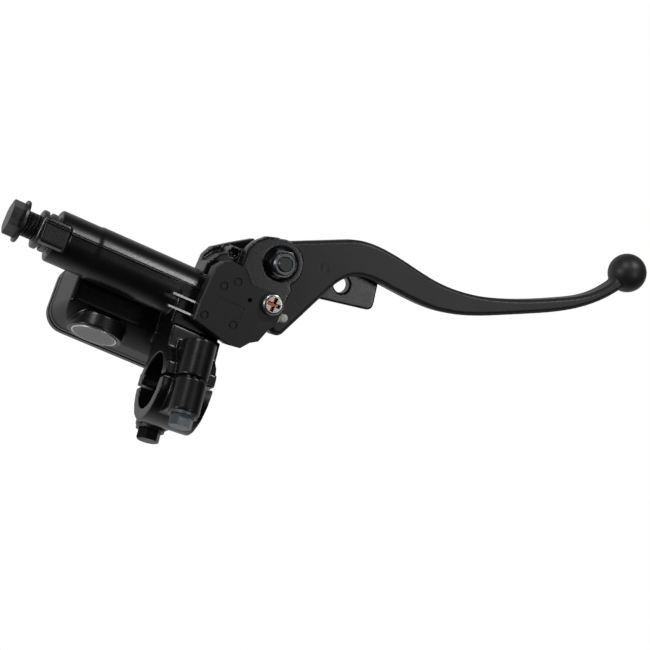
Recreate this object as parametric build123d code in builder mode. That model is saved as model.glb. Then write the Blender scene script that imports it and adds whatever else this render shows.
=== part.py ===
"""Front brake master cylinder for a motorcycle handlebar, left-hand side.

Millimetres. The origin is the centre of the handlebar clamp bore. +X runs along the cylinder bore
towards the lever tip, +Y points to the rider and +Z is the reservoir cover's normal.
"""
import os
from math import cos, radians, sin, tan

from build123d import *

# ---- driving dimensions ---------------------------------------------------------------------
# Handlebar clamp, on a 7/8 inch bar
bar_d = 22.2
clamp_fit = 0.05            # radial clearance left on the bar before the bolts are tightened
bar_skew = 4.0              # degrees that the bar leans from the cylinder axis, seen from above
clamp_w = 20.0
clamp_shift = -0.5          # centre of the clamp along the bar
clamp_wall = 4.6
clamp_gap = 1.0
clamp_bolt_pitch = 36.0
clamp_boss_r = 6.1
clamp_boss_l = 12.5

# Metric screws: thread radius, hexagon across flats, head height
m4_r = 2.0
m6_r = 3.0
m6_af = 10.0
m6_small_af = 8.0
m6_head_h = 4.2
m10_r = 5.0
banjo_af = 12.0

# Cylinder
cyl_y = -36.5               # distance of the cylinder axis ahead of the bar axis
cyl_left = -64.2
cyl_mouth = 13.0
cyl_r = 10.5
cyl_end_r = 10.2            # turned length at the hose end
cyl_end_l = 16.5
bore_r = 7.0
bore_left = -49.5
bore_fit = 0.03             # running clearance of the piston in its bore
outlet_r = 1.6
banjo_thread_l = 12.0
port_small_x = -13.8        # opens just ahead of the primary cup
port_feed_x = -5.0

# Lever plane: tilted down at the front, through the cylinder axis
lever_tilt = 17.0
pivot_x = 18.8
pivot_q = -24.6             # pivot ahead of the cylinder axis, in the lever plane
lever_t = 9.5
side_fit = 0.3              # gap between the lever and each ear
ear_h = 10.5                # outer face of each ear from the lever plane
ear_r = 9.5
pivot_r = 4.0               # shoulder of the pivot bolt
pivot_fit = 0.03
bush_wall = 1.5
spot_r = 6.5
spot_depth = 0.8

# Lever cam and the pin that works the switch, placed from the pivot
cam_r = 3.4
cam_x = 10.8
cam_q = 22.4
free_play = 0.3
pin_r = 1.6
pin_shank_r = 1.4
pin_x = 8.6
pin_q = 18.9
pin_end_h = -14.6
lever_swing = 15.0          # degrees from rest to the stop

# Ball end of the lever
ball_r = 8.1
ball_x = 162.0
ball_q = -81.5

# Reservoir
cover_l = 58.0
cover_w = 38.0
cover_x = -21.5
cover_y = -31.3
cover_cut = (18.0, 14.8)    # taken off each front corner, along X and along Y
cover_top = 34.0
cover_t = 4.2
cover_corner = 8.0
cover_lip = 1.8
rim_inset = 0.2
rim_h = 2.2
bowl_inset = 0.5
bowl_bottom = 9.0
bowl_wall = 3.0
bowl_floor = 3.4
bowl_draft = 8.0
bowl_slope = 26.0           # the rear wall leans in more than the others, and bows out
bowl_slope_top = 24.0
bowl_round = 2.5
gasket_t = 1.2
plate_t = 0.8
lid_gap = 0.2
cover_screw_pitch = 44.0

# Sight glass
glass_x = -32.6
glass_z = 18.2
glass_face_y = -12.4
glass_ring_r = 9.1
glass_ring_w = 0.8
glass_ring_proud = 0.4
glass_boss_wall = 1.8
glass_boss_l = 6.0
glass_window_r = 6.4
glass_seal_t = 0.8

# Lug that the upper ear carries on into
lug_hole_x = 50.2
lug_hole_q = -28.2
lug_hole_r = 3.3            # clears an M6 screw
lug_right = 66.4
lug_rear_q = -23.7
lug_front_q = -36.8
lug_corner = 2.6

# Brake light switch
switch_top = -10.8
switch_bottom = -17.6
switch_lid_t = 1.8
switch_left = -6.1
switch_wall = 1.8
switch_screw_x = 19.8
switch_screw_q = -8.6
switch_head_r = 4.2
terminal_l = 10.4
terminal_w = 3.0
terminal_t = 0.8
terminal_q = (2.2, 7.2)

# Hose end
washer_r = 7.6
washer_t = 2.3
washer_slack = 0.8          # between the tube and the inner washer
washer_stand_off = 1.0      # between the two washers, where the hose fitting goes
banjo_gap = 5.6             # bare shank left between the outer washer and the bolt's flange
stop_lug = (10.2, 10.0, 3.9)

# ---- frames -----------------------------------------------------------------------------------
tilt_c, tilt_s = cos(radians(lever_tilt)), sin(radians(lever_tilt))
skew_c, skew_s = cos(radians(bar_skew)), sin(radians(bar_skew))
bar_r = bar_d / 2
clamp_r = bar_r + clamp_fit
lever_plane = Plane(origin=(0, cyl_y, 0), x_dir=(1, 0, 0), z_dir=(0, -tilt_s, tilt_c))
bar_plane = Plane(origin=(0, 0, 0), x_dir=(skew_c, -skew_s, 0), z_dir=(0, 0, 1))
bar_side = Plane(origin=(0, 0, 0), x_dir=(skew_s, skew_c, 0), z_dir=(skew_c, -skew_s, 0))
bar_front = Plane(origin=(0, 0, 0), x_dir=(skew_c, -skew_s, 0), z_dir=(-skew_s, -skew_c, 0))
axis_plane = Plane(origin=(0, cyl_y, 0), x_dir=(0, 1, 0), z_dir=(1, 0, 0))
half_plane = Plane(origin=(0, cyl_y, 0), x_dir=(1, 0, 0), z_dir=(0, -1, 0))
glass_plane = Plane(origin=(glass_x, glass_face_y, glass_z), x_dir=(1, 0, 0), z_dir=(0, 1, 0))

slot_half = lever_t / 2 + side_fit
rim_top = cover_top - cover_t - lid_gap
rim_bottom = rim_top - rim_h
cam_face = pivot_x + cam_x - cam_r
piston_end = cam_face - free_play
bolt_seat = clamp_gap / 2 + clamp_boss_l
clamp_ring_r = clamp_r + clamp_wall
screw_x = [cover_x - cover_screw_pitch / 2, cover_x + cover_screw_pitch / 2]


def at_x(x):
    """Plane square to the cylinder axis at x."""
    return axis_plane.offset(x)


def on_lever(h):
    """Plane parallel to the lever plane, h above it."""
    return lever_plane.offset(h)


def tube(plane, outer, inner, length):
    """A plain ring: outer and inner radius, standing on the plane."""
    with BuildPart() as ring:
        with BuildSketch(plane):
            Circle(outer)
            if inner:
                Circle(inner, mode=Mode.SUBTRACT)
        extrude(amount=length)
    return ring.part


def cover_outline(inset):
    """The cover's outline, set in from its edge: square at the rear, cut off at the front corners."""
    left, right = cover_x - cover_l / 2, cover_x + cover_l / 2
    front, rear = cover_y - cover_w / 2, cover_y + cover_w / 2
    with BuildSketch() as outline:
        with BuildLine():
            Polyline((left, rear), (right, rear), (right, front + cover_cut[1]),
                     (right - cover_cut[0], front), (left + cover_cut[0], front),
                     (left, front + cover_cut[1]), close=True)
        make_face()
        fillet(outline.vertices(), cover_corner)
        if inset:
            offset(amount=-inset)
    return outline.sketch


def drafted_box(inset, bottom, top, rounding):
    """A block on the cover's outline, set in from it, drawn in downwards and more so at the rear."""
    rear = cover_y + cover_w / 2 - inset
    lean = (bowl_slope_top - bottom) * tan(radians(bowl_slope))
    with BuildPart() as block:
        with BuildSketch(Plane.XY.offset(bottom)):
            add(cover_outline(inset + (top - bottom) * tan(radians(bowl_draft))))
        extrude(amount=top - bottom, taper=-bowl_draft)
        if rounding:
            fillet(block.faces().sort_by(Axis.Z)[0].edges(), rounding)
        with BuildSketch(Plane(origin=(cover_x - cover_l, 0, 0), x_dir=(0, 1, 0), z_dir=(1, 0, 0))):
            with BuildLine():
                ThreePointArc((rear - lean, bottom), (rear - 0.34 * lean, (bottom + bowl_slope_top) / 2),
                              (rear, bowl_slope_top))
                Polyline((rear, bowl_slope_top), (rear + 9.0, bowl_slope_top), (rear + 9.0, bottom),
                         (rear - lean, bottom))
            make_face()
        extrude(amount=2 * cover_l, mode=Mode.SUBTRACT)
    return block.part


def save(name, *pieces):
    """Label a node's solid or solids and write them to one STEP file."""
    node = pieces[0] if len(pieces) == 1 else Compound(children=list(pieces))
    node.label = name
    export_step(node, f"parts/{name}.step")
    print(f"{name:24s} {node.volume:10.1f} mm3")


os.makedirs("parts", exist_ok=True)

# ---- body casting -----------------------------------------------------------------------------
ear_left_up, ear_left_low = -6.6, 4.6
ear_right = pivot_x + 8.6
ear_rear = -5.2             # rear edge of the lower ear, clear of the piston boot
boot_r = 6.6
root_boss = (1.7, -21.4)    # small boss between the ears
root_boss_r = 2.6
land_z, land_l = 16.2, 4.9   # flat lands beside each clamp boss at the split
parting_w, parting_h = 1.0, 0.14
mouth_r = 8.2
mouth_depth = 1.6
clip_w = 1.2
clip_x = cyl_mouth - mouth_depth - 0.8 - clip_w

cavity_bottom = bowl_bottom + bowl_floor
with BuildPart() as hollow:
    add(drafted_box(bowl_inset + bowl_wall, cavity_bottom, rim_top, 0))
    with BuildSketch(Plane.XY.offset(cavity_bottom)):
        with Locations((screw_x[0] - 1.5, cover_y), (screw_x[1] + 1.5, cover_y)):
            Circle(m4_r + 2.6)
    extrude(amount=rim_top - cavity_bottom, mode=Mode.SUBTRACT)
cavity = hollow.part

with BuildPart() as casting:
    # cylinder, turned down a little at the hose end
    with BuildSketch(at_x(cyl_left)):
        Circle(cyl_end_r)
    extrude(amount=cyl_end_l)
    with BuildSketch(at_x(cyl_left + cyl_end_l)):
        Circle(cyl_r)
    extrude(amount=cyl_mouth - cyl_left - cyl_end_l)
    chamfer(casting.faces().sort_by(Axis.X)[0].edges(), 0.6)

    # upper ear, carried on as the lug
    with BuildSketch(on_lever(slot_half)) as upper_ear:
        with Locations((pivot_x, pivot_q)):
            Circle(ear_r)
        with BuildLine():
            Polyline((ear_left_up, 0), (ear_left_up, -17.0), (-4.6, -21.0), (1.6, -25.4), (9.6, -30.6),
                     (pivot_x, pivot_q), (ear_right, -16.2), (ear_right, -10.0), (cyl_mouth, -8.0),
                     (cyl_mouth, 0), close=True)
        make_face()
    with BuildSketch(on_lever(slot_half)) as lug:
        with BuildLine():
            Polyline((pivot_x, pivot_q + 8.6), (ear_right, -16.4), (lug_right, lug_rear_q),
                     (lug_right - 2.6, lug_front_q), (ear_right + 9.0, lug_front_q),
                     (pivot_x, pivot_q - 9.0), close=True)
        make_face()
        fillet(lug.vertices().group_by(Axis.X)[-1] + lug.vertices().group_by(Axis.X)[-2], lug_corner)
    extrude(amount=ear_h - slot_half)

    # lower ear, which also carries the switch
    with BuildSketch(on_lever(-ear_h)) as lower_ear:
        with Locations((pivot_x, pivot_q)):
            Circle(ear_r)
        with BuildLine():
            Polyline((ear_left_low, 0), (ear_left_low, -25.4), (6.0, -28.3), (10.0, -32.2), (14.6, -33.6),
                     (pivot_x, pivot_q), (ear_right, -17.0), (ear_right - 0.8, -8.6), (22.6, -6.8),
                     (19.4, -6.2), (18.4, ear_rear), (cyl_mouth, ear_rear), (cyl_mouth, 0), close=True)
        make_face()
    extrude(amount=ear_h - slot_half)

    # clevis root between the ears
    with BuildSketch(on_lever(-slot_half)):
        with BuildLine():
            Polyline((ear_left_up, 0), (ear_left_up, -14.0), (-3.6, -18.9), (2.2, -22.3), (3.6, -24.2),
                     (6.0, -24.2), (6.4, -9.4), (cyl_mouth, -8.4), (cyl_mouth, 0), close=True)
        make_face()
        with Locations(root_boss):
            Circle(root_boss_r)
    extrude(amount=2 * slot_half)
    with BuildSketch(on_lever(-slot_half)):
        with Locations(root_boss):
            Circle(root_boss_r - 0.9)
    extrude(amount=2.0, mode=Mode.SUBTRACT)

    # arm from the cylinder to the clamp, and the clamp's front half
    with BuildSketch(bar_plane.offset(-10.2)):
        with Locations((clamp_shift, -20.0)):
            Rectangle(clamp_w, 30.0)
    extrude(amount=22.0)
    with BuildSketch(bar_side.offset(clamp_shift - clamp_w / 2)):
        Circle(clamp_ring_r)
    extrude(amount=clamp_w)
    with BuildSketch(bar_front.offset(clamp_gap / 2)) as lugs_front:
        with Locations((clamp_shift, -clamp_bolt_pitch / 2), (clamp_shift, clamp_bolt_pitch / 2)):
            Circle(clamp_boss_r)
        make_hull()
    extrude(amount=clamp_boss_l + 2.0)
    with BuildSketch(bar_front.offset(clamp_gap / 2)):
        with Locations((clamp_shift, 0)):
            Rectangle(clamp_w, 2 * land_z)
    extrude(amount=land_l)
    # everything behind the split belongs to the holder
    with BuildSketch(bar_front.offset(-40.0)):
        with Locations((clamp_shift, 0)):
            Rectangle(60.0, 80.0)
    extrude(amount=40.0 + clamp_gap / 2, mode=Mode.SUBTRACT)

    # reservoir bowl and its rim
    add(drafted_box(bowl_inset, bowl_bottom, rim_bottom, bowl_round))
    with BuildSketch(Plane.XY.offset(rim_bottom)):
        add(cover_outline(rim_inset))
    extrude(amount=rim_h)

    # sight glass boss, anti-rotation stop for the hose fitting
    with BuildSketch(glass_plane):
        Circle(glass_ring_r + glass_boss_wall)
    extrude(amount=-glass_boss_l)
    # parting line left by the mould along the cylinder
    for x, radius, length in ((cyl_left + 5.0, cyl_end_r, cyl_end_l - 5.0),
                              (cyl_left + cyl_end_l, cyl_r, ear_left_up - cyl_left - cyl_end_l)):
        with BuildSketch(Plane.XY.offset(-radius - parting_h)):
            with Locations((x + length / 2, cyl_y)):
                Rectangle(length, parting_w)
        extrude(amount=1.0)
    with BuildSketch(Plane.XY.offset(-cyl_end_r - 1.6)):
        with Locations((cyl_left - stop_lug[0] / 2 + 4.2, cyl_y + 3.0)):
            RectangleRounded(stop_lug[0], stop_lug[1], 1.0)
    extrude(amount=stop_lug[2])

    # flat seat for the switch under the arm
    with BuildSketch(on_lever(switch_top + 0.1)):
        with Locations((5.0, -4.0)):
            Rectangle(50.0, 33.4)
    extrude(amount=-20.0, mode=Mode.SUBTRACT)

    # reservoir cavity with bosses for the cover screws
    add(cavity, mode=Mode.SUBTRACT)
    with Locations(*[Plane(origin=(x, cover_y, rim_top)) for x in screw_x]):
        Hole(m4_r, depth=12.0)

    # sight glass seat, stepped from the ring to the window
    for radius, depth in ((glass_ring_r, 1.0), (glass_ring_r - 0.7, 3.4), (glass_window_r, 12.0)):
        with BuildSketch(glass_plane):
            Circle(radius)
        extrude(amount=-depth, mode=Mode.SUBTRACT)

    # bore, mouth, circlip groove, outlet and hose thread
    for x, radius, length in ((bore_left, bore_r, cyl_mouth - bore_left), (cyl_left, outlet_r, 20.0),
                              (cyl_left, m10_r, banjo_thread_l), (clip_x, bore_r + 0.6, clip_w),
                              (cyl_mouth - mouth_depth, mouth_r, mouth_depth)):
        with BuildSketch(at_x(x)):
            Circle(radius)
        extrude(amount=length, mode=Mode.SUBTRACT)
    # fluid ports from the reservoir floor, the small one ahead of the seal
    for x, radius in ((port_small_x, 0.5), (port_feed_x, 1.5)):
        with BuildSketch(Plane.XY.offset(cavity_bottom)):
            with Locations((x, cyl_y)):
                Circle(radius)
        extrude(amount=-8.0, mode=Mode.SUBTRACT)

    # pivot, lug, clamp and switch holes
    with Locations(on_lever(ear_h) * Location((pivot_x, pivot_q, 0))):
        Hole(pivot_r, depth=ear_h)
    with Locations(on_lever(0) * Location((pivot_x, pivot_q, 0))):
        Hole(m6_r, depth=30.0)
    with Locations(on_lever(ear_h) * Location((lug_hole_x, lug_hole_q, 0))):
        Hole(lug_hole_r, depth=10.0)
    with BuildSketch(on_lever(-ear_h)):
        with Locations((pivot_x, pivot_q)):
            Circle(spot_r)
    extrude(amount=spot_depth, mode=Mode.SUBTRACT)
    with BuildSketch(bar_side.offset(-60.0)):
        Circle(clamp_r)
    extrude(amount=120.0, mode=Mode.SUBTRACT)
    with BuildSketch(bar_front.offset(clamp_gap / 2)):
        with Locations((clamp_shift, -clamp_bolt_pitch / 2), (clamp_shift, clamp_bolt_pitch / 2)):
            Circle(m6_r)
    extrude(amount=clamp_boss_l - 1.0, mode=Mode.SUBTRACT)
    with BuildSketch(on_lever(-ear_h)):
        with Locations((switch_screw_x, switch_screw_q)):
            Circle(m4_r)
    extrude(amount=ear_h - slot_half, mode=Mode.SUBTRACT)
save("body_casting", casting.part)

# ---- reservoir cover, plate and diaphragm ------------------------------------------------------
seal_gap = 0.3              # between the edge of the rubber and the cover's lip
bellows_l, bellows_w, bellows_depth, bellows_corner = 24.0, 20.0, 6.5, 5.0
rubber_t = 1.1
stack_top = rim_top + gasket_t + plate_t

with BuildPart() as cover:
    with BuildSketch(Plane.XY.offset(cover_top - cover_t)):
        add(cover_outline(0))
    extrude(amount=cover_t)
    chamfer(cover.faces().sort_by(Axis.Z)[-1].edges(), 0.9)
    with BuildSketch(Plane.XY.offset(cover_top - cover_t)):
        add(cover_outline(cover_lip))
    extrude(amount=stack_top - (cover_top - cover_t), mode=Mode.SUBTRACT)
    with BuildSketch(Plane.XY.offset(stack_top)):
        with Locations((cover_x, cover_y)):
            RectangleRounded(bellows_l, bellows_w, bellows_corner)
    extrude(amount=0.6, mode=Mode.SUBTRACT)
    with BuildSketch(Plane.XY.offset(cover_top)):
        with Locations((cover_x, cover_y)):
            RectangleRounded(26.0, 20.0, 4.0)
    extrude(amount=-0.4, mode=Mode.SUBTRACT)
    with Locations(*[Plane(origin=(x, cover_y, cover_top)) for x in screw_x]):
        CounterSinkHole(m4_r + 0.2, 4.0, counter_sink_angle=90)
save("reservoir_cover", cover.part)

with BuildPart() as plate:
    with BuildSketch(Plane.XY.offset(rim_top + gasket_t)):
        add(cover_outline(cover_lip + seal_gap))
        with Locations((cover_x, cover_y)):
            RectangleRounded(bellows_l - 4.0, bellows_w - 4.0, bellows_corner - 2.0, mode=Mode.SUBTRACT)
        with Locations((screw_x[0], cover_y), (screw_x[1], cover_y)):
            Circle(m4_r + 0.3, mode=Mode.SUBTRACT)
    extrude(amount=plate_t)
save("diaphragm_plate", plate.part)

with BuildPart() as diaphragm:
    with BuildSketch(Plane.XY.offset(rim_top)):
        add(cover_outline(cover_lip + seal_gap))
        with Locations((screw_x[0], cover_y), (screw_x[1], cover_y)):
            Circle(m4_r + 0.3, mode=Mode.SUBTRACT)
    extrude(amount=gasket_t)
    with BuildSketch(Plane.XY.offset(rim_top - bellows_depth)):
        with Locations((cover_x, cover_y)):
            RectangleRounded(bellows_l, bellows_w, bellows_corner)
    extrude(amount=bellows_depth)
    with BuildSketch(Plane.XY.offset(rim_top - bellows_depth + rubber_t)):
        with Locations((cover_x, cover_y)):
            RectangleRounded(bellows_l - 2 * rubber_t, bellows_w - 2 * rubber_t, bellows_corner - rubber_t)
    extrude(amount=bellows_depth + gasket_t, mode=Mode.SUBTRACT)
save("diaphragm", diaphragm.part)

baffle_l, baffle_w, baffle_t, baffle_wall = 9.0, 7.4, 1.6, 1.2
with BuildPart() as baffle:
    with BuildSketch(Plane.XY.offset(cavity_bottom)):
        with Locations((port_small_x, cyl_y)):
            RectangleRounded(baffle_l, baffle_w, baffle_wall + 0.5)
    extrude(amount=baffle_t)
    with BuildSketch(Plane.XY.offset(cavity_bottom)):
        with Locations((port_small_x, cyl_y)):
            RectangleRounded(baffle_l - 2 * baffle_wall, baffle_w - 2 * baffle_wall, 0.5)
    extrude(amount=baffle_t / 2, mode=Mode.SUBTRACT)
    with BuildSketch(Plane.XY.offset(cavity_bottom)):
        with Locations((port_small_x - baffle_l / 4, cyl_y + baffle_wall),
                       (port_small_x + baffle_l / 4, cyl_y - baffle_wall)):
            Circle(0.8)
    extrude(amount=baffle_t, mode=Mode.SUBTRACT)
save("port_baffle", baffle.part)


def countersunk_screw(x):
    """M4 countersunk cover screw with a cross recess, its head flush with the cover."""
    with BuildPart() as screw:
        with BuildSketch(Plane(origin=(x, cover_y, 0), x_dir=(1, 0, 0), z_dir=(0, -1, 0))):
            with BuildLine():
                Polyline((0, cover_top), (3.9, cover_top), (3.9, cover_top - 0.1), (m4_r, cover_top - 2.0),
                         (m4_r, rim_top - 9.5), (0, rim_top - 9.5), close=True)
            make_face()
        revolve(axis=Axis((x, cover_y, 0), (0, 0, 1)))
        with BuildSketch(Plane(origin=(x, cover_y, cover_top))):
            Rectangle(4.4, 0.9)
            Rectangle(0.9, 4.4)
        extrude(amount=-1.5, mode=Mode.SUBTRACT)
    return screw.part


save("cover_screws", *[countersunk_screw(x) for x in screw_x])

# ---- sight glass -------------------------------------------------------------------------------
lens_r = glass_ring_r - 0.7
lens_seat = 3.4
save("sight_glass_seal", tube(glass_plane.offset(-lens_seat), lens_r, glass_window_r, glass_seal_t))

with BuildPart() as lens:
    with BuildSketch(glass_plane.offset(-lens_seat + glass_seal_t)):
        Circle(lens_r)
    extrude(amount=lens_seat - glass_seal_t - 1.0)
    with BuildSketch(glass_plane.offset(-1.0)):
        Circle(glass_ring_r - glass_ring_w)
    extrude(amount=1.0 + 0.5)
save("sight_glass_lens", lens.part)

with BuildPart() as glass_ring:
    add(tube(glass_plane.offset(-1.0), glass_ring_r, glass_ring_r - glass_ring_w, 1.0 + glass_ring_proud))
    fillet(glass_ring.faces().sort_by(Axis.Y)[-1].edges(), 0.35)
save("sight_glass_ring", glass_ring.part)

# ---- handlebar clamp ----------------------------------------------------------------------------
with BuildPart() as holder:
    with BuildSketch(bar_side.offset(clamp_shift - clamp_w / 2)):
        Circle(clamp_ring_r)
    extrude(amount=clamp_w)
    with BuildSketch(bar_front.offset(-clamp_gap / 2)):
        with Locations((clamp_shift, -clamp_bolt_pitch / 2), (clamp_shift, clamp_bolt_pitch / 2)):
            Circle(clamp_boss_r)
        make_hull()
    extrude(amount=-clamp_boss_l)
    with BuildSketch(bar_front.offset(40.0)):
        with Locations((clamp_shift, 0)):
            Rectangle(60.0, 80.0)
    extrude(amount=-(40.0 + clamp_gap / 2), mode=Mode.SUBTRACT)
    with BuildSketch(bar_side.offset(-60.0)):
        Circle(clamp_r)
    extrude(amount=120.0, mode=Mode.SUBTRACT)
    # spot faces under the bolt heads, then the bolt holes
    for z in (-clamp_bolt_pitch / 2, clamp_bolt_pitch / 2):
        with BuildSketch(bar_front.offset(-bolt_seat)):
            with Locations((clamp_shift, z)):
                Circle(clamp_boss_r)
        extrude(amount=-6.0, mode=Mode.SUBTRACT)
        with BuildSketch(bar_front.offset(-bolt_seat)):
            with Locations((clamp_shift, z)):
                Circle(m6_r + 0.3)
        extrude(amount=bolt_seat, mode=Mode.SUBTRACT)
save("clamp_holder", holder.part)

clamp_washer_t = 1.2
clamp_washer_r = 5.6
clamp_z = [-clamp_bolt_pitch / 2, clamp_bolt_pitch / 2]


def clamp_stack(z, distance):
    """Plane square to a clamp bolt, distance behind the bar's axis, facing forwards."""
    return Plane(origin=bar_front.offset(-distance).from_local_coords((clamp_shift, z, 0)),
                 x_dir=bar_front.x_dir, z_dir=bar_front.z_dir)


def hex_prism(plane, flats, height, hole_r=0.0):
    """Hexagon standing on the plane, its far corners turned off as on a bolt head or nut."""
    corner_r = flats / 2 / cos(radians(30))
    with BuildPart() as prism:
        with BuildSketch(plane):
            Circle(corner_r + 0.05)
        extrude(amount=height)
        chamfer(prism.faces().sort_by(Axis(plane.origin, plane.z_dir))[-1].edges(), 0.35, 0.7)
        with BuildSketch(plane):
            RegularPolygon(corner_r, 6)
        extrude(amount=height, mode=Mode.INTERSECT)
        if hole_r:
            with BuildSketch(plane):
                Circle(hole_r)
            extrude(amount=height, mode=Mode.SUBTRACT)
    return prism.part


def shank(plane, radius, length):
    """A plain round shank along the plane's normal, with a lead-in chamfer at its far end."""
    with BuildPart() as rod:
        with BuildSketch(plane):
            Circle(radius)
        extrude(amount=length)
        chamfer(rod.faces().sort_by(Axis(plane.origin, plane.z_dir))[-1].edges(), 0.5)
    return rod.part


def hex_bolt(seat, radius, flats, head, length):
    """Hexagon bolt: the seat is the plane under its head, and the shank runs along its normal."""
    outwards = Plane(origin=seat.origin, x_dir=seat.x_dir, z_dir=-seat.z_dir)
    with BuildPart() as bolt:
        add(hex_prism(outwards, flats, head))
        add(shank(seat, radius, length))
    return bolt.part


save("clamp_washers", *[tube(clamp_stack(z, bolt_seat), clamp_washer_r, m6_r + 0.2, -clamp_washer_t)
                        for z in clamp_z])
save("clamp_bolts", *[hex_bolt(clamp_stack(z, bolt_seat + clamp_washer_t), m6_r, m6_small_af, m6_head_h,
                               bolt_seat + clamp_washer_t + clamp_gap / 2 + 9.5) for z in clamp_z])

# ---- hose end ------------------------------------------------------------------------------------
inner_washer_x = cyl_left - washer_slack - washer_t
outer_washer_x = inner_washer_x - washer_stand_off - washer_t
flange_x = outer_washer_x - banjo_gap
flange_t = 1.2
banjo_head = 4.7
flange_r = 8.3


def sealing_washer(x):
    """Soft metal washer with rounded rims, square to the cylinder axis at x."""
    with BuildPart() as washer:
        add(tube(at_x(x), washer_r, m10_r + 0.1, washer_t))
        fillet(washer.edges().filter_by(GeomType.CIRCLE).sort_by(SortBy.RADIUS)[-2:], 0.6)
    return washer.part


save("sealing_washers", sealing_washer(inner_washer_x), sealing_washer(outer_washer_x))

with BuildPart() as banjo:
    seat = at_x(flange_x)
    add(hex_prism(Plane(origin=at_x(flange_x - flange_t).origin, x_dir=(0, cos(0.18), sin(0.18)),
                        z_dir=(-1, 0, 0)), banjo_af, banjo_head))
    with BuildSketch(at_x(flange_x - flange_t)):
        Circle(flange_r)
    extrude(amount=flange_t)
    fillet(banjo.faces().filter_by(Axis.X).sort_by(Axis.X)[-1].edges(), 0.4)
    add(shank(seat, m10_r, cyl_left + banjo_thread_l - 1.0 - flange_x))
    with BuildSketch(seat):
        Circle(2.3)
    extrude(amount=cyl_left + banjo_thread_l - flange_x, mode=Mode.SUBTRACT)
    with BuildSketch(Plane(origin=(inner_washer_x - washer_stand_off / 2, cyl_y, 0), z_dir=(0, 0, 1))):
        Circle(0.8)
    extrude(amount=2 * m10_r, both=True, mode=Mode.SUBTRACT)
save("banjo_bolt", banjo.part)

# ---- piston and what works on it -------------------------------------------------------------------
piston_r = bore_r - bore_fit
stem_r = 5.2
piston_front = -14.0
shoulder_x = clip_x - 0.1
cup_groove_r = 4.8
cup_w = 3.0
primary_x, secondary_x = piston_front + 1.2, 4.6


def turned(points):
    """Solid turned about the cylinder axis from (x, radius) points, closed along the axis."""
    with BuildPart() as solid:
        with BuildSketch(half_plane):
            with BuildLine():
                Polyline((points[0][0], 0), *points, (points[-1][0], 0), close=True)
            make_face()
        revolve(axis=Axis((0, cyl_y, 0), (1, 0, 0)))
    return solid.part


save("piston", turned([(piston_front - 4.0, 3.4), (piston_front, 3.4), (piston_front, piston_r),
                       (primary_x, piston_r), (primary_x, cup_groove_r), (primary_x + cup_w, cup_groove_r),
                       (primary_x + cup_w, piston_r), (primary_x + cup_w + 1.2, piston_r),
                       (primary_x + cup_w + 1.2, 5.4), (secondary_x - 1.2, 5.4),
                       (secondary_x - 1.2, piston_r), (secondary_x, piston_r), (secondary_x, cup_groove_r),
                       (secondary_x + cup_w, cup_groove_r), (secondary_x + cup_w, piston_r),
                       (shoulder_x, piston_r), (shoulder_x, stem_r), (piston_end - 1.2, stem_r),
                       (piston_end, stem_r - 1.6)]))


def lip_cup(x):
    """Rubber lip seal in its groove, its lip turned towards the fluid."""
    with BuildPart() as cup:
        with BuildSketch(half_plane):
            with BuildLine():
                Polyline((x, cup_groove_r + 0.9), (x, piston_r), (x + 1.2, piston_r),
                         (x + cup_w - 0.6, piston_r - 0.5), (x + cup_w, piston_r - 0.5),
                         (x + cup_w, cup_groove_r), (x, cup_groove_r), (x, cup_groove_r + 0.5),
                         (x + 1.3, cup_groove_r + 0.7), close=True)
            make_face()
        revolve(axis=Axis((0, cyl_y, 0), (1, 0, 0)))
    return cup.part


save("primary_cup", lip_cup(primary_x))
save("secondary_cup", lip_cup(secondary_x))


def coil(start, length, radius, wire_r, turns, axis_dir=(1, 0, 0)):
    """A round-wire compression spring along +X from its start point."""
    with BuildPart() as spring:
        with BuildLine() as path:
            Helix(pitch=length / turns, height=length, radius=radius, center=start, direction=axis_dir)
        with BuildSketch(Plane(origin=path.line @ 0, z_dir=path.line % 0)):
            Circle(wire_r)
        sweep(path=path.line, is_frenet=True)
    return spring.part


spring_wire_r = 0.65
spring_start = bore_left + spring_wire_r + 0.1
save("return_spring", coil((spring_start, cyl_y, 0), piston_front - spring_wire_r - 0.1 - spring_start,
                           5.0, spring_wire_r, 8))

with BuildPart() as clip:
    add(tube(at_x(clip_x + 0.1), bore_r + 0.5, bore_r - 1.3, clip_w - 0.2))
    with BuildSketch(at_x(clip_x)):
        with Locations((0, 6.5)):
            Rectangle(5.0, 5.0)
    extrude(amount=clip_w, mode=Mode.SUBTRACT)
save("circlip", clip.part)

boot_end = piston_end - 2.9
boot_wall = 0.8
boot_folds = 3
boot_neck = stem_r + 0.4
with BuildPart() as boot:
    fold = (boot_end - 1.5 - cyl_mouth) / boot_folds
    crest = [(cyl_mouth + fold * (i + 0.5), boot_r) for i in range(boot_folds)]
    valley = [(cyl_mouth + fold * (i + 1.0), boot_neck + boot_wall) for i in range(boot_folds)]
    outer = [point for pair in zip(crest, valley) for point in pair]
    inner = [(x, r - boot_wall) for x, r in reversed(outer)]
    mouth_in = cyl_mouth - mouth_depth
    with BuildSketch(half_plane):
        with BuildLine():
            Polyline((mouth_in, boot_neck), (mouth_in, mouth_r), (cyl_mouth, mouth_r),
                     (cyl_mouth, boot_neck + boot_wall), *outer, (boot_end, boot_neck + boot_wall),
                     (boot_end, stem_r + 0.05), (boot_end - 1.5, stem_r + 0.05), *inner,
                     (cyl_mouth, boot_neck), close=True)
        make_face()
    revolve(axis=Axis((0, cyl_y, 0), (1, 0, 0)))
save("dust_boot", boot.part)

# ---- pivot ---------------------------------------------------------------------------------------
pivot_head_h, pivot_head_r = 4.0, 5.6
nut_h, nut_hex_h = 7.2, 5.0
nut_seat = -ear_h + spot_depth
nut_turn = -13.0
pivot_axis = (pivot_x, pivot_q)


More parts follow.
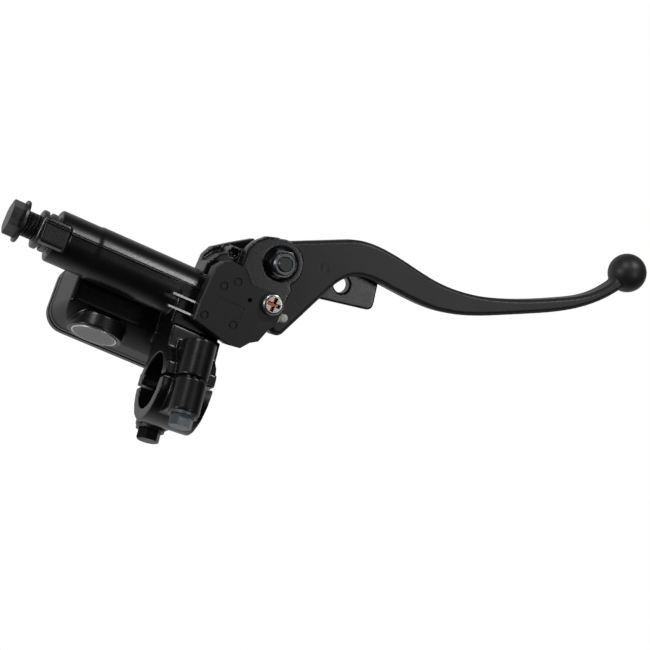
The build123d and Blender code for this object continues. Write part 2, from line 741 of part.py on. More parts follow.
def on_pivot(h):
    """Plane on the pivot axis, h above the lever plane."""
    return Plane(origin=lever_plane.from_local_coords((pivot_x, pivot_q, h)), x_dir=lever_plane.x_dir,
                 z_dir=lever_plane.z_dir)


with BuildPart() as pivot_bolt:
    add(tube(on_pivot(ear_h), pivot_head_r, 0, pivot_head_h))
    chamfer(pivot_bolt.faces().sort_by(Axis(on_pivot(0).origin, lever_plane.z_dir))[-1].edges(), 0.6)
    with BuildSketch(on_pivot(ear_h + pivot_head_h)):
        RegularPolygon(2.9, 6)
    extrude(amount=-2.4, mode=Mode.SUBTRACT)
    add(tube(on_pivot(-slot_half), pivot_r, 0, slot_half + ear_h))
    add(shank(Plane(origin=on_pivot(-slot_half).origin, x_dir=(1, 0, 0), z_dir=-lever_plane.z_dir),
              m6_r, nut_h + 1.0 - slot_half - nut_seat))
save("pivot_bolt", pivot_bolt.part)

with BuildPart() as nut:
    turned_x = lever_plane.x_dir.rotate(Axis((0, 0, 0), lever_plane.z_dir), nut_turn)
    nut_plane = Plane(origin=on_pivot(nut_seat).origin, x_dir=turned_x, z_dir=-lever_plane.z_dir)
    add(hex_prism(nut_plane, m6_af, nut_hex_h))
    with BuildSketch(nut_plane):
        Circle(4.5)
    extrude(amount=nut_h)
    chamfer(nut.faces().sort_by(Axis(on_pivot(0).origin, lever_plane.z_dir))[0].edges(), 0.6)
    with BuildSketch(nut_plane):
        Circle(m6_r)
    extrude(amount=nut_h, mode=Mode.SUBTRACT)
save("pivot_nut", nut.part)

bush_r = pivot_r + pivot_fit + bush_wall
save("lever_bush", tube(on_pivot(-lever_t / 2 - 0.15), bush_r, pivot_r + pivot_fit, lever_t + 0.3))

# ---- lever -----------------------------------------------------------------------------------------
hub_r = 8.1
cam = (pivot_x + cam_x, pivot_q + cam_q)
pin = (pivot_x + pin_x, pivot_q + pin_q)
front_corner = (43.7, -45.2)
rear_corner = (43.6, -24.4)
web_corner = (25.9, -12.5)
front_edge = [(64.0, -46.9), (84.3, -44.4), (104.3, -46.6), (138.1, -60.4), (159.8, -81.5)]
rear_edge = [(164.0, -79.5), (147.7, -60.6), (120.1, -45.4), (89.1, -33.9), (61.5, -34.2), rear_corner]
lever_bevel = 1.3
dimple = (37.5, -30.5)
dimple_r = 1.9

with BuildPart() as lever:
    with BuildSketch(on_lever(-lever_t / 2)) as blade:
        with BuildLine():
            hub_circle = CenterArc(pivot_axis, hub_r, 0, 360, mode=Mode.PRIVATE)
            cam_circle = CenterArc(cam, cam_r, 0, 360, mode=Mode.PRIVATE)
            nose = PointArcTangentLine(front_corner, hub_circle, side=Side.LEFT)
            web = PointArcTangentLine(web_corner, hub_circle, side=Side.RIGHT)
            ThreePointArc(nose @ 1, (pivot_x - hub_r, pivot_q), web @ 1)
            heel = PointArcTangentLine(web_corner, cam_circle, side=Side.LEFT)
            arm = PointArcTangentLine(rear_corner, cam_circle, side=Side.RIGHT)
            ThreePointArc(heel @ 1, (cam[0], cam[1] + cam_r), arm @ 1)
            ahead = Spline(front_corner, *front_edge, tangents=(-(nose % 0), (0.48, -0.88)))
            back = Spline(*rear_edge, tangents=((-0.48, 0.88), arm % 0))
            Line(ahead @ 1, back @ 0)
        make_face()
    extrude(amount=lever_t)
    chamfer(lever.faces().filter_by(lever_plane).edges(), lever_bevel)
    with Locations(lever_plane.location * Location((ball_x, ball_q, 0))):
        Sphere(ball_r)
    with BuildSketch(on_lever(-lever_t / 2)):
        with Locations(pivot_axis):
            Circle(bush_r)
    extrude(amount=lever_t, mode=Mode.SUBTRACT)
    with BuildSketch(on_lever(-lever_t / 2)):
        with Locations(pin):
            Circle(pin_shank_r)
    extrude(amount=lever_t - 2.5, mode=Mode.SUBTRACT)
    with BuildSketch(on_lever(-lever_t / 2)):
        with Locations(dimple):
            Circle(dimple_r)
            Circle(dimple_r - 0.6, mode=Mode.SUBTRACT)
    extrude(amount=0.4, mode=Mode.SUBTRACT)
save("lever", lever.part)

with BuildPart() as switch_pin:
    for radius, top in ((pin_shank_r, lever_t / 2 - 2.5), (pin_r, switch_top - 0.2)):
        add(shank(Plane(origin=lever_plane.from_local_coords((*pin, top)), x_dir=(1, 0, 0),
                        z_dir=-lever_plane.z_dir), radius, top - pin_end_h))
save("switch_pin", switch_pin.part)

# ---- brake light switch ------------------------------------------------------------------------------
swing = radians(lever_swing)


def pin_at(turn):
    """Where the switch pin stands in the lever plane when the lever has turned."""
    return (pivot_x + pin_x * cos(turn) - pin_q * sin(turn), pivot_q + pin_x * sin(turn) + pin_q * cos(turn))


piston_travel = cam_x * (1 - cos(swing)) + cam_q * sin(swing)
pin_travel = pin_x + pivot_x - pin_at(swing)[0]
print(f"piston ratio {piston_travel / swing:.3f} mm/rad over {piston_travel:.2f} mm")
print(f"switch ratio {pin_travel / swing:.3f} mm/rad over {pin_travel:.2f} mm")

lid_top = switch_bottom + switch_lid_t
pin_slot_r = pin_r + 0.5
screw_pos = (switch_screw_x, switch_screw_q)
slider_lo, slider_hi = -5.9, -3.3
slider_tip = pin[0] - pin_r - free_play
slider_l = 16.0
slider_h = 2.7
slider_top = lid_top + 0.2 + slider_h
outline = [(switch_left, 8.5), (switch_left - 0.4, 1.0), (switch_left, -12.8), (-3.8, -16.0),
           (-0.8, -17.5), (5.2, -17.0), (9.8, -12.6), (20.6, -12.9), (24.6, -10.4), (24.8, -2.0),
           (22.6, 0.9), (20.7, 6.4), (17.8, 8.2), (15.1, 11.5), (9.8, 12.2), (1.2, 10.1)]


def switch_shell(h, height, shrink=0.0):
    """A slab of the switch's outline standing on the plane at h."""
    with BuildPart() as slab:
        with BuildSketch(on_lever(h)) as face:
            with BuildLine():
                Polyline(*outline, close=True)
            make_face()
            fillet(face.vertices().group_by(Axis.X)[0] + face.vertices().sort_by(Axis.X)[-2:], 1.2)
            if shrink:
                offset(amount=-shrink)
        extrude(amount=height)
    return slab.part


def on_outline(h, height, pos, radius):
    """A round post or hole in the switch, from h upwards."""
    with BuildPart() as post:
        with BuildSketch(on_lever(h)):
            with Locations(pos):
                Circle(radius)
        extrude(amount=height)
    return post.part


def switch_box(x_range, q_range, h_range):
    """A block in the lever plane's own directions."""
    with BuildPart() as block:
        with BuildSketch(on_lever(h_range[0])):
            with Locations(((x_range[0] + x_range[1]) / 2, (q_range[0] + q_range[1]) / 2)):
                Rectangle(x_range[1] - x_range[0], q_range[1] - q_range[0])
        extrude(amount=h_range[1] - h_range[0])
    return block.part


case_roof = 1.3
terminal_end = 6.4
terminal_h = (lid_top + 0.6, lid_top + 0.6 + terminal_w)
terminals = [switch_box((switch_left - terminal_l, terminal_end), (q - terminal_t / 2, q + terminal_t / 2),
                        terminal_h) for q in terminal_q]

with BuildPart() as room:
    add(switch_shell(lid_top, switch_top - case_roof - lid_top, switch_wall))
    add(on_outline(lid_top, 10.0, screw_pos, 3.8), mode=Mode.SUBTRACT)
    add(switch_box((17.6, 30.0), (-20.0, 20.0), (lid_top, switch_top)), mode=Mode.SUBTRACT)

with BuildPart() as case:
    add(switch_shell(lid_top, switch_top - lid_top))
    add(room.part, mode=Mode.SUBTRACT)
    add(switch_box((10.0, 30.0), (slider_lo - 0.1, slider_hi + 0.1), (lid_top, slider_top + 0.1)),
        mode=Mode.SUBTRACT)
    with BuildSketch(on_lever(lid_top)):
        with Locations(pin, pin_at(swing / 2), pin_at(swing)):
            Circle(pin_slot_r)
        make_hull()
    extrude(amount=10.0, mode=Mode.SUBTRACT)
    add(on_outline(lid_top, 10.0, screw_pos, m4_r + 0.1), mode=Mode.SUBTRACT)
    for blade in terminals:
        add(blade, mode=Mode.SUBTRACT)
save("switch_case", case.part)

with BuildPart() as lid:
    add(switch_shell(switch_bottom, switch_lid_t))
    chamfer(lid.faces().sort_by(Axis((0, 0, 0), lever_plane.z_dir))[0].edges(), 0.5)
    add(on_outline(switch_bottom, 4.0, screw_pos, m4_r + 0.1), mode=Mode.SUBTRACT)
    add(on_outline(switch_bottom, 4.0, (11.2, -6.7), 0.9), mode=Mode.SUBTRACT)
    for pos in ((-0.3, -7.6), (4.1, -11.1), (-3.0, 5.3), (8.9, 4.5)):
        add(on_outline(switch_bottom, 0.5, pos, 1.7), mode=Mode.SUBTRACT)
        add(on_outline(switch_bottom + 0.1, 0.5, pos, 1.1))
    add(switch_box((-0.5, 10.5), (-3.2, 2.6), (switch_bottom, switch_bottom + 0.2)), mode=Mode.SUBTRACT)
save("switch_cover", lid.part)

for blade in terminals:
    blade.label = "blade"
save("switch_terminals", *terminals)

bridge_x = terminal_end + pin_travel + 0.5
bridge_t = 0.4
slider_rear = slider_tip - slider_l
with BuildPart() as slider:
    add(switch_box((slider_rear, slider_tip), (slider_lo, slider_hi), (lid_top + 0.2, slider_top)))
    add(switch_box((bridge_x, bridge_x + bridge_t), (slider_lo, slider_hi), (lid_top + 0.9, slider_top)),
        mode=Mode.SUBTRACT)
save("switch_plunger", slider.part)
save("switch_contact_bridge", switch_box((bridge_x, bridge_x + bridge_t), (slider_lo, 7.9),
                                         (lid_top + 0.9, slider_top)))

plunger_spring_wire_r = 0.2
plunger_spring_x = switch_left + switch_wall + 0.6
with BuildPart() as small_spring:
    middle = lever_plane.from_local_coords((plunger_spring_x, (slider_lo + slider_hi) / 2,
                                            lid_top + 0.2 + slider_h / 2))
    add(coil(middle, slider_rear - plunger_spring_wire_r - 0.1 - plunger_spring_x, 0.9,
             plunger_spring_wire_r, 9))
save("switch_plunger_spring", small_spring.part)

with BuildPart() as switch_screw:
    screw_seat = Plane(origin=lever_plane.from_local_coords((*screw_pos, switch_bottom)), x_dir=(1, 0, 0),
                       z_dir=lever_plane.z_dir)
    with BuildSketch(screw_seat):
        Circle(switch_head_r)
    extrude(amount=-2.6)
    fillet(switch_screw.faces().sort_by(Axis(screw_seat.origin, screw_seat.z_dir))[0].edges(), 1.2)
    with BuildSketch(screw_seat.offset(-2.6)):
        Rectangle(5.4, 1.5)
        Rectangle(1.5, 5.4)
    extrude(amount=1.5, taper=12, mode=Mode.SUBTRACT)
    add(shank(screw_seat, m4_r, -slot_half - 0.4 - switch_bottom))
save("switch_screw", switch_screw.part)
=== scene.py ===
import math

import bmesh
import bpy
import numpy as np
from mathutils import Matrix, Vector


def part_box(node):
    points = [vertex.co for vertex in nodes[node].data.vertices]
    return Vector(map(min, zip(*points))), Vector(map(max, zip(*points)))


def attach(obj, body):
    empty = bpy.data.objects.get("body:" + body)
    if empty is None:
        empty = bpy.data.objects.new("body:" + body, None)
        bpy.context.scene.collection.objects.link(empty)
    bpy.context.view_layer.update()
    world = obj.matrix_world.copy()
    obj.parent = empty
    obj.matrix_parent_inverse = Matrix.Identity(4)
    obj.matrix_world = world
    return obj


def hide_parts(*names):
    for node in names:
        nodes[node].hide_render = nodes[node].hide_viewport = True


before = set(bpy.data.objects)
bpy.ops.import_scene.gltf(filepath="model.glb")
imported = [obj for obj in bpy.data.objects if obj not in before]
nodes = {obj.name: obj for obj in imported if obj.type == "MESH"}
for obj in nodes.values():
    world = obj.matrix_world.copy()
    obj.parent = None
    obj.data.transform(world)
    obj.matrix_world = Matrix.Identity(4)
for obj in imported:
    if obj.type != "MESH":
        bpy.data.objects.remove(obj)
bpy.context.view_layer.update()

# ---- Body casting ---------------------------------------------------------------------------
# One aluminium casting: the cylinder, the reservoir bowl, the arm with half of the clamp, and the
# two ears of the clevis. It is shot-blasted and then painted gloss black, so its edges are soft
# and a faint orange peel lies over the cast skin.


class Value:
    """A number that varies over a surface. Each operator on it adds the Math node that it needs."""

    def __init__(self, paint, socket):
        self.paint = paint
        self.socket = socket

    def math(self, operation, *terms):
        node = self.paint.add("ShaderNodeMath", {"operation": operation}, dict(enumerate(terms)))
        return Value(self.paint, node.outputs[0])

    def __add__(self, other):
        return self.math("ADD", self, other)

    def __sub__(self, other):
        return self.math("SUBTRACT", self, other)

    def __mul__(self, other):
        return self.math("MULTIPLY", self, other)

    __radd__ = __add__
    __rmul__ = __mul__

    def axes(self):
        """The three coordinates of a vector, each as a Value."""
        parts = self.paint.add("ShaderNodeSeparateXYZ", {}, {"Vector": self})
        return [Value(self.paint, socket) for socket in parts.outputs]

    def step(self, low, high):
        """0 below low, 1 above high, and a straight line between them."""
        spread = self.math("MULTIPLY_ADD", self, 1 / (high - low), -low / (high - low))
        return spread.math("MINIMUM", spread.math("MAXIMUM", spread, 0.0), 1.0)


class Paint:
    """One material: a Principled shader, and add() for every other node that feeds it."""

    def __init__(self, name, **constants):
        self.material = bpy.data.materials.new(name)
        self.material.use_nodes = True
        self.tree = self.material.node_tree
        self.tree.nodes.clear()
        self.shader = self.add("ShaderNodeBsdfPrincipled")
        output = self.add("ShaderNodeOutputMaterial", {}, {"Surface": self.shader.outputs[0]})
        output.target = "ALL"
        for socket, value in constants.items():
            self.shader.inputs[socket.replace("_", " ").title().replace("Ior", "IOR")].default_value = value
        self.place = self.add("ShaderNodeTexCoord").outputs["Object"]

    def add(self, kind, settings=None, sockets=None):
        """A node of this kind: its settings first, then values or links for its sockets."""
        node = self.tree.nodes.new(kind)
        for name, value in (settings or {}).items():
            setattr(node, name, value)
        for name, value in (sockets or {}).items():
            value = value.socket if isinstance(value, Value) else value
            if isinstance(value, bpy.types.NodeSocket):
                self.tree.links.new(value, node.inputs[name])
            else:
                node.inputs[name].default_value = value
        return node

    def noise(self, scale, detail=2.0, rough=0.5, stretch=(1, 1, 1)):
        """Fractal noise from 0 to 1, its grains about 1/scale metres across."""
        where = self.add("ShaderNodeMapping", {}, {"Vector": self.place, "Scale": stretch})
        return Value(self, self.add("ShaderNodeTexNoise", {}, {
            "Vector": where.outputs[0], "Scale": scale, "Detail": detail, "Roughness": rough}).outputs[0])

    def tint(self, amount, first, second):
        """A colour that goes from the first to the second as amount goes from 0 to 1."""
        mix = self.add("ShaderNodeMix", {"data_type": "RGBA"})
        for socket, value in ((mix.inputs[0], amount), (mix.inputs[6], first), (mix.inputs[7], second)):
            if isinstance(value, Value):
                self.tree.links.new(value.socket, socket)
            elif isinstance(value, bpy.types.NodeSocket):
                self.tree.links.new(value, socket)
            else:
                socket.default_value = (*value, 1.0)
        return mix.outputs[2]

    def drive(self, socket, value):
        """Links a varying colour or number to the shader."""
        self.tree.links.new(value.socket if isinstance(value, Value) else value, self.shader.inputs[socket])

    def bump(self, height, depth, strength=1.0):
        """Raises the surface by height, 0 to 1, times depth in metres."""
        node = self.add("ShaderNodeBump", {}, {"Height": height, "Distance": depth, "Strength": strength})
        self.tree.links.new(node.outputs[0], self.shader.inputs["Normal"])

    def cells(self, scale):
        """Distance to the nearest of many scattered points, 0 at a point, about 0.5 between points."""
        return Value(self, self.add("ShaderNodeTexVoronoi", {}, {
            "Vector": self.place, "Scale": scale}).outputs["Distance"])

    def onto(self, *objects):
        """Paints these objects all over."""
        for thing in objects:
            thing.data.materials.clear()
            thing.data.materials.append(self.material)
            thing.data.polygons.foreach_set("material_index", np.zeros(len(thing.data.polygons), np.int32))
            thing.data.update()


cyl_y = -0.0365         # the cylinder's axis lies along x at this y, with z = 0
ridge_scale = 14.0      # the parting line's height against the orange peel's


def cast_skin(node, body, grid, passes, share):
    """A cast skin for a CAD node: its surface resampled on a cubic grid, then each point moved
    towards the mean of its neighbours, so that the edges turn round while the flats stay flat."""
    mesh = nodes[node].data.copy()
    form = bmesh.new()
    form.from_mesh(mesh)
    bmesh.ops.remove_doubles(form, verts=form.verts, dist=1e-6)
    form.to_mesh(mesh)
    form.free()
    skin = bpy.data.objects.new(node + "_skin", mesh)
    bpy.context.scene.collection.objects.link(skin)
    resample = skin.modifiers.new("resample", "REMESH")
    resample.mode = "VOXEL"
    resample.voxel_size = grid
    relax = skin.modifiers.new("relax", "SMOOTH")
    relax.factor = 0.5
    relax.iterations = passes
    thin = skin.modifiers.new("thin", "DECIMATE")
    thin.ratio = share
    made = bpy.data.meshes.new_from_object(skin.evaluated_get(bpy.context.evaluated_depsgraph_get()))
    skin.modifiers.clear()
    skin.data = made
    skin.data.name = skin.name
    made.shade_smooth()
    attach(skin, body)
    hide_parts(node)
    return skin


def cast_paint(name, low, high, rough, ridge=False):
    """Black paint over a blasted casting: fine orange peel, dull specks, and rubbed patches. With
    ridge, the mould's parting line also stands up along the bottom of the cylinder."""
    paint = Paint(name)
    peel = paint.noise(1400, 3)
    patch = paint.noise(60, 4, 0.6)
    speck = paint.cells(900).step(0.12, 0.05)
    paint.drive("Base Color", paint.tint(patch * 0.6 + 0.4 * speck, low, high))
    paint.drive("Roughness", rough + 0.14 * peel + 0.10 * patch)
    height = 0.8 * peel + 0.2 * speck
    if ridge:
        x, y, z = Value(paint, paint.place).axes()
        side = y - cyl_y
        line = side.math("ABSOLUTE", side).step(0.0007, 0.0002)
        height = height + ridge_scale * (line * z.step(-0.006, -0.008) * x.step(-0.006, -0.007))
    paint.bump(height, 0.00002)
    return paint


cast = cast_paint("cast_gloss_black", (0.002, 0.002, 0.002), (0.006, 0.006, 0.007), 0.18, ridge=True)
cast.onto(nodes["body_casting"], cast_skin("body_casting", "housing", 0.0004, 6, 0.40))

# ---- Clamp holder, its two bolts and washers ---------------------------------------------------
# The other half of the clamp is the same painted casting. Two M6 hexagon bolts pull it to the body
# through plain washers. The lower bolt is plated blue-grey and the upper one, above z = 0, is coloured near
# black.


def metal(name, dark, light, rough, grain=900, wipe=(1, 1, 1), depth=0.00001):
    """Bare or plated metal: drawn scratches along one axis, stains, and pits."""
    paint = Paint(name, metallic=1.0)
    scratch = paint.noise(grain, 3, 0.6, wipe)
    stain = paint.noise(160, 4, 0.6)
    pit = paint.cells(1300).step(0.10, 0.04)
    paint.drive("Base Color", paint.tint(0.5 * scratch + 0.7 * stain - 0.2 * pit, dark, light))
    paint.drive("Roughness", rough + 0.14 * stain + 0.1 * scratch)
    paint.bump(scratch - 0.4 * pit, depth)
    return paint


holder = cast_paint("holder_gloss_black", (0.002, 0.002, 0.002), (0.006, 0.006, 0.007), 0.18)
holder.onto(nodes["clamp_holder"], cast_skin("clamp_holder", "housing", 0.0003, 8, 0.6))
plated = metal("zinc_blue_grey", (0.05, 0.06, 0.07), (0.20, 0.225, 0.25), 0.26)
x, y, z = Value(plated, plated.place).axes()
stain = plated.noise(300, 4, 0.6)
lower = plated.tint(stain, (0.05, 0.06, 0.07), (0.22, 0.245, 0.27))
upper = plated.tint(stain, (0.006, 0.006, 0.006), (0.03, 0.03, 0.03))
# the same bolt material, switched to near black above z = 0
plated.drive("Base Color", plated.tint(z.step(-0.001, 0.001), lower, upper))
plated.onto(nodes["clamp_bolts"])
metal("zinc_washer_grey", (0.03, 0.032, 0.034), (0.16, 0.165, 0.17), 0.32).onto(nodes["clamp_washers"])

# ---- Reservoir cover, its screws, plate, diaphragm and baffle ----------------------------------
# A flat painted casting closes the bowl. Under it a moulded plate holds down the rubber bellows, and
# a small pressed baffle stands over the ports. Two plated countersunk screws hold the stack.


def polymer(name, low, high, rough, grain, depth=0.00002):
    """Moulded plastic or rubber: the pebble of the mould, cloudy dust, and scuffs."""
    paint = Paint(name)
    pebble = paint.noise(grain, 2)
    dust = paint.noise(90, 4, 0.65)
    scuff = paint.noise(400, 3, 0.6, (1, 0.15, 1)).step(0.62, 0.72)
    paint.drive("Base Color", paint.tint(0.5 * pebble + 0.5 * dust + 0.25 * scuff, low, high))
    paint.drive("Roughness", rough + 0.1 * dust - 0.08 * scuff)
    paint.bump(pebble, depth)
    return paint


lid = cast_paint("cover_gloss_black", (0.002, 0.002, 0.002), (0.006, 0.006, 0.007), 0.18)
lid.onto(nodes["reservoir_cover"], cast_skin("reservoir_cover", "housing", 0.0003, 3, 0.5))
metal("screw_zinc_bright", (0.30, 0.30, 0.31), (0.60, 0.60, 0.62), 0.26).onto(nodes["cover_screws"])
polymer("plate_plastic", (0.02, 0.02, 0.02), (0.05, 0.05, 0.05), 0.45, 1800).onto(
    nodes["diaphragm_plate"], nodes["port_baffle"])
polymer("bellows_rubber", (0.008, 0.008, 0.008), (0.022, 0.022, 0.021), 0.62, 2600).onto(
    nodes["diaphragm"], nodes["sight_glass_seal"])

# ---- Sight glass -------------------------------------------------------------------------------
# A clear moulded window, greyed by the dark bowl behind it, is pressed in behind a thin bright ring.

glass = Paint("sight_lens", ior=1.49)
haze = glass.noise(140, 3, 0.55)
x, y, z = Value(glass, glass.place).axes()
middle = [sum(axis) / 2 for axis in zip(*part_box("sight_glass_lens"))]
reach = (x - middle[0]) * (x - middle[0]) + (z - middle[2]) * (z - middle[2])
rim = reach.step(0.0063 ** 2, 0.0077 ** 2)       # paler where the lens rests on its seat
glass.drive("Base Color", glass.tint(rim * 0.8 + 0.3 * haze, (0.07, 0.072, 0.075), (0.17, 0.172, 0.175)))
glass.drive("Roughness", 0.16 + 0.12 * haze)
glass.bump(haze, 0.00003)
glass.onto(nodes["sight_glass_lens"])
metal("ring_white", (0.72, 0.72, 0.72), (0.92, 0.92, 0.92), 0.34).onto(nodes["sight_glass_ring"])

# ---- Hose bolt and sealing washers ---------------------------------------------------------------
# The hollow M10 bolt is dark zinc with its shank's thread in view, and two soft aluminium washers
# stand where the hose fitting goes.


def threaded(name, dark, light, rough, middle, pitch, crest, span):
    """Plated steel with a thread within span along x: a ridge of triangular section that climbs one
    pitch in each turn about the axis, whose y and z are middle, out to the crest radius."""
    paint = metal(name, dark, light, rough, 700)
    x, y, z = Value(paint, paint.place).axes()
    across, above = y - middle[0], z - middle[1]
    turn = above.math("ARCTAN2", above, across)
    climb = x.math("MULTIPLY_ADD", x, 1 / pitch, turn * (1 / math.tau))
    flank = climb.math("PINGPONG", climb, 0.5) * 2.0
    away = across * across + above * above
    here = away.step((crest + 0.0006) ** 2, (crest + 0.0002) ** 2)
    here = here * x.step(span[0] - 0.0001, span[0]) * x.step(span[1] + 0.0001, span[1])
    paint.bump(flank * here, pitch * 0.45)
    return paint


low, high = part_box("banjo_bolt")
head_l = 0.006          # the hexagon and its flange, which carry no thread
threaded("banjo_zinc_dark", (0.03, 0.032, 0.03), (0.14, 0.145, 0.14), 0.26, (cyl_y, 0.0), 0.00125,
         0.005, (low[0] + head_l, high[0])).onto(nodes["banjo_bolt"])
metal("washer_aluminium", (0.06, 0.062, 0.065), (0.24, 0.245, 0.25), 0.30).onto(nodes["sealing_washers"])

# ---- Piston, seals, spring, boot and circlip ----------------------------------------------------
# The turned aluminium piston carries two rubber cups. A steel spring behind it returns it, a circlip
# keeps it in, and a moulded rubber boot closes the mouth of the bore.

metal("piston_alloy", (0.34, 0.34, 0.35), (0.62, 0.62, 0.63), 0.24, 1500, (1, 0.1, 0.1)).onto(
    nodes["piston"])
metal("spring_steel", (0.22, 0.22, 0.23), (0.5, 0.5, 0.51), 0.28).onto(
    nodes["return_spring"], nodes["switch_plunger_spring"], nodes["circlip"])
polymer("boot_rubber", (0.007, 0.007, 0.007), (0.02, 0.02, 0.019), 0.55, 2400).onto(
    nodes["dust_boot"], nodes["primary_cup"], nodes["secondary_cup"])

# ---- Pivot bolt and nut ---------------------------------------------------------------------------
# The lever turns on the plain shoulder of a plated bolt, held by a self-locking nut with a crimped
# crown.

metal("nut_zinc_dark", (0.03, 0.033, 0.036), (0.16, 0.17, 0.18), 0.24, 500).onto(nodes["pivot_nut"])
metal("pivot_zinc_grey", (0.015, 0.017, 0.017), (0.07, 0.072, 0.072), 0.26).onto(nodes["pivot_bolt"])

# ---- Lever, its bush and the switch pin -------------------------------------------------------------
# A die-cast lever in satin black, with a bevel along both edges and a ball at its end. A brass bush
# lines its pivot hole, and a pale pin in it works the brake light switch.

satin = Paint("lever_satin_black")
fleck = satin.noise(2600, 3)
worn = satin.noise(45, 4, 0.6)
satin.drive("Base Color", satin.tint(
    0.5 * fleck + 0.6 * worn, (0.006, 0.006, 0.007), (0.016, 0.016, 0.018)))
satin.drive("Roughness", 0.36 + 0.1 * fleck + 0.08 * worn)
satin.bump(fleck, 0.00002)
satin.onto(nodes["lever"], cast_skin("lever", "lever", 0.0004, 2, 0.6))
metal("bush_brass", (0.42, 0.28, 0.09), (0.70, 0.50, 0.20), 0.26).onto(nodes["lever_bush"])
polymer("pin_pale", (0.62, 0.62, 0.60), (0.80, 0.80, 0.78), 0.4, 2000).onto(
    nodes["switch_pin"], nodes["switch_plunger"])

# ---- Brake light switch ------------------------------------------------------------------------------
# Two black mouldings are held under the arm by a nickel-plated cross-head screw whose recess shows
# the brass beneath. Two tinned blades take the connector.

polymer("switch_moulded_black", (0.004, 0.004, 0.004), (0.010, 0.010, 0.011), 0.46, 1700, 0.00003).onto(
    nodes["switch_case"], nodes["switch_cover"])
metal("terminal_tin", (0.55, 0.55, 0.56), (0.86, 0.86, 0.87), 0.24, 1200, (0.1, 1, 1)).onto(
    nodes["switch_terminals"], nodes["switch_contact_bridge"])
nickel = metal("screw_nickel", (0.26, 0.25, 0.24), (0.55, 0.54, 0.52), 0.2)
tilt_c, tilt_s = math.cos(math.radians(17.0)), math.sin(math.radians(17.0))    # the lever's plane
screw_x, screw_q, recess_r = 0.0198, -0.0086, 0.0029       # the screw's place in that plane
points = np.empty(3 * len(nodes["switch_screw"].data.vertices))
nodes["switch_screw"].data.vertices.foreach_get("co", points)
face = float((points.reshape(-1, 3) @ np.array((0.0, -tilt_s, tilt_c))).min())
x, y, z = Value(nickel, nickel.place).axes()
depth = z * tilt_c - y * tilt_s                            # least at the face of the head
across = (y - cyl_y) * tilt_c + z * tilt_s - screw_q
reach = (x - screw_x) * (x - screw_x) + across * across
sunk = depth.step(face + 0.0003, face + 0.0006)
inside = reach.step((1.07 * recess_r) ** 2, (0.94 * recess_r) ** 2)
rust = sunk * inside * nickel.noise(500, 3, 0.6).step(0.15, 0.4)
plain = nickel.tint(nickel.noise(300, 4, 0.6), (0.24, 0.23, 0.22), (0.60, 0.58, 0.55))
nickel.drive("Base Color", nickel.tint(rust, plain, (0.30, 0.10, 0.05)))
nickel.onto(nodes["switch_screw"])

# ---- Backdrop, light and camera ---------------------------------------------------------------
# A pale floor lies well below the part, which hangs free above it. The sky is white to look at but
# lights the part softly, and large lamps draw the highlights along its edges.


def floor_sheet(size, height):
    """A square grid, size across, whose height is the same everywhere."""
    steps = np.linspace(-size / 2, size / 2, 3)
    x, y = np.meshgrid(steps, steps)
    corners = np.stack([x, y, np.full_like(x, height)], -1).reshape(-1, 3)
    i = np.arange(2)[:, None] * 3 + np.arange(2)
    faces = np.stack([i, i + 1, i + 4, i + 3], -1).reshape(-1, 4)
    mesh = bpy.data.meshes.new("floor")
    mesh.from_pydata(corners.tolist(), [], faces.tolist())
    return mesh


floor = bpy.data.objects.new("floor", floor_sheet(8.0, -1.0))
bpy.context.scene.collection.objects.link(floor)
pale = Paint("floor_pale", roughness=0.9)
pale.drive("Base Color", pale.tint(pale.noise(30, 2), (0.78, 0.78, 0.78), (0.84, 0.84, 0.84)))
pale.onto(floor)

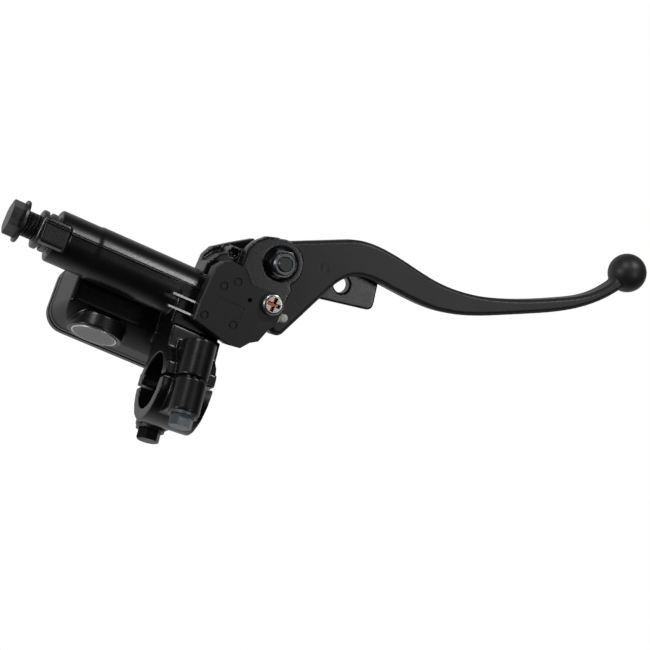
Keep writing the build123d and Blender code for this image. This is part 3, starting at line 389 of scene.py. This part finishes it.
world = bpy.data.worlds.new("sky")
world.use_nodes = True
sky = world.node_tree.nodes["Background"]
sky.inputs["Color"].default_value = (1.0, 1.0, 1.0, 1.0)
sky_nodes, sky_links = world.node_tree.nodes, world.node_tree.links
seen = sky_nodes.new("ShaderNodeLightPath")
toward = sky_nodes.new("ShaderNodeTexCoord")
split = sky_nodes.new("ShaderNodeSeparateXYZ")
glow = sky_nodes.new("ShaderNodeMapRange")      # how brightly each direction lights the part
glow.inputs["From Min"].default_value = -0.10
glow.inputs["From Max"].default_value = 0.60
glow.inputs["To Min"].default_value = 0.03
glow.inputs["To Max"].default_value = 0.55
strength = sky_nodes.new("ShaderNodeMath")      # white wherever the camera sees it
strength.operation = "MAXIMUM"
sky_links.new(toward.outputs["Generated"], split.inputs[0])
sky_links.new(split.outputs["Z"], glow.inputs["Value"])
sky_links.new(seen.outputs["Is Camera Ray"], strength.inputs[0])
sky_links.new(glow.outputs["Result"], strength.inputs[1])
sky_links.new(strength.outputs[0], sky.inputs["Strength"])
floor.visible_glossy = False                    # the pale floor doesn't grey the black paint
floor.visible_diffuse = False
bpy.context.scene.world = world
bpy.context.scene.view_settings.view_transform = "Standard"

# The camera looks up at the part from behind it, on the side of the hose end.
camera_place = Vector((-0.17758, 0.18474, -0.62919))
right = Vector((0.8657, -0.2787, -0.4157))
upward = Vector((-0.3841, -0.9025, -0.1948))
back = right.cross(upward).normalized()
right.normalize()
upward = back.cross(right)
lens = bpy.data.cameras.new("camera")
lens.sensor_width = 36.0
lens.lens = 99.14
lens.clip_start = 0.01
camera = bpy.data.objects.new("camera", lens)
camera.matrix_world = Matrix((right, upward, back)).transposed().to_4x4()
camera.location = camera_place
bpy.context.scene.collection.objects.link(camera)
bpy.context.scene.camera = camera


def lamp(name, place, aim, size, power):
    """A square area lamp at place, turned to face aim."""
    light = bpy.data.lights.new(name, "AREA")
    light.shape = "SQUARE"
    light.size = size
    light.energy = power
    holder = bpy.data.objects.new(name, light)
    holder.location = place
    holder.rotation_euler = (Vector(aim) - Vector(place)).to_track_quat("-Z", "Y").to_euler()
    bpy.context.scene.collection.objects.link(holder)


part_middle = (0.0, -0.04, 0.0)
lamp("lamp_high", camera_place + 0.80 * upward - 0.15 * right, part_middle, 0.18, 3.0)
lamp("lamp_left", camera_place - 0.85 * right + 0.2 * upward, part_middle, 0.16, 3.0)
lamp("lamp_right", camera_place + 0.7 * right - 0.1 * upward, part_middle, 0.20, 1.1)
lamp("lamp_band", Vector((0.257, -0.635, -0.761)), part_middle, 0.18, 3.2)   # streak on the cylinder
